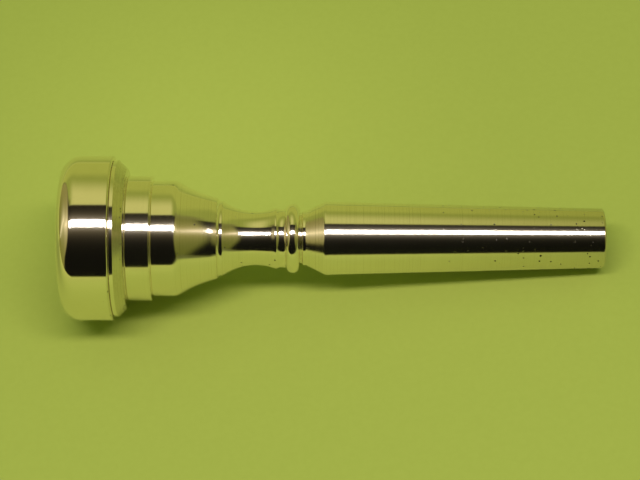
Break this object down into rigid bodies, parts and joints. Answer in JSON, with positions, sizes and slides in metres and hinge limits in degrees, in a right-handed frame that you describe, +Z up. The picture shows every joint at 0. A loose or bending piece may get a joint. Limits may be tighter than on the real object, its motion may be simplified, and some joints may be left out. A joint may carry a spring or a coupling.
{
  "type": "trumpet mouthpiece",
  "caption": "Screw-rim mouthpiece for a brass instrument: rounded rim, bowl-shaped cup with a plain band, turned neck with a ring, and a tapered shank.",
  "frame": {"origin": "centre of the shank's small end, where the mouthpiece goes into the instrument", "axes": "+X along the mouthpiece's axis out of the shank towards the instrument, so the rim points to -X; +Z up as it lies on its side"},
  "size_m": [0.0883, 0.027, 0.027],
  "materials": {
    "silver_plate": "bright polished silver plate over turned brass"
  },
  "bodies": {
    "backbore": {"backbore": "silver_plate"},
    "cup": {"cup": "silver_plate"},
    "rim": {"rim": "silver_plate"}
  },
  "joints": [
    {"name": "cup_unscrews", "type": "slide", "parent": "backbore", "child": "cup", "axis": [-1, 0, 0], "range_m": [0, 0.012]},
    {"name": "rim_unscrews", "type": "slide", "parent": "cup", "child": "rim", "axis": [-1, 0, 0], "range_m": [0, 0.008]}
  ]
}
